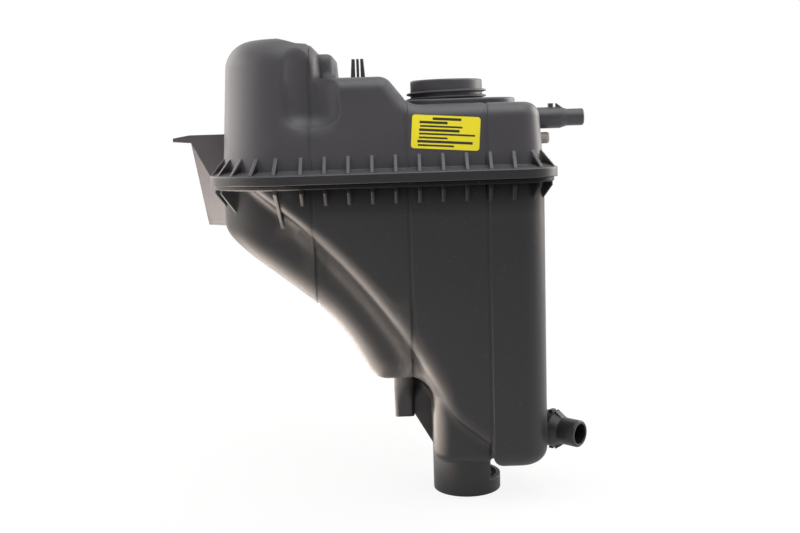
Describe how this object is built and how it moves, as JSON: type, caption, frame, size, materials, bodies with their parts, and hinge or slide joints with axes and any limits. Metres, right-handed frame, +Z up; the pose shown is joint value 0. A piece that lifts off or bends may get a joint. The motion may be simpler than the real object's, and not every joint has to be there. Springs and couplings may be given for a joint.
{
  "type": "coolant expansion tank",
  "caption": "Car coolant expansion tank with a domed, stepped top, threaded filler neck, ribbed weld flange and a belly swept down to a sump with a sensor socket and hose nipple.",
  "frame": {"origin": "centre of the mouth of the level-sensor socket under the sump, on the tank's middle plane", "axes": "+Z up along the filler neck, +X towards the hose side, -Y towards the front with the label"},
  "size_m": [0.2956, 0.116, 0.3245],
  "materials": {
    "shell_plastic": "satin moulded",
    "label_film": "satin film",
    "float_foam": "matt",
    "magnet": "sintered",
    "rod_plastic": "satin"
  },
  "bodies": {
    "tank": {"upper_shell": "shell_plastic", "lower_shell": "shell_plastic", "label": "label_film"},
    "float": {"level_float": "float_foam", "float_magnet": "magnet", "indicator_rod": "rod_plastic"}
  },
  "joints": [
    {"name": "float_slide", "type": "slide", "parent": "tank", "child": "float", "axis": [0, 0, 1], "range_m": [0, 0.032]}
  ]
}
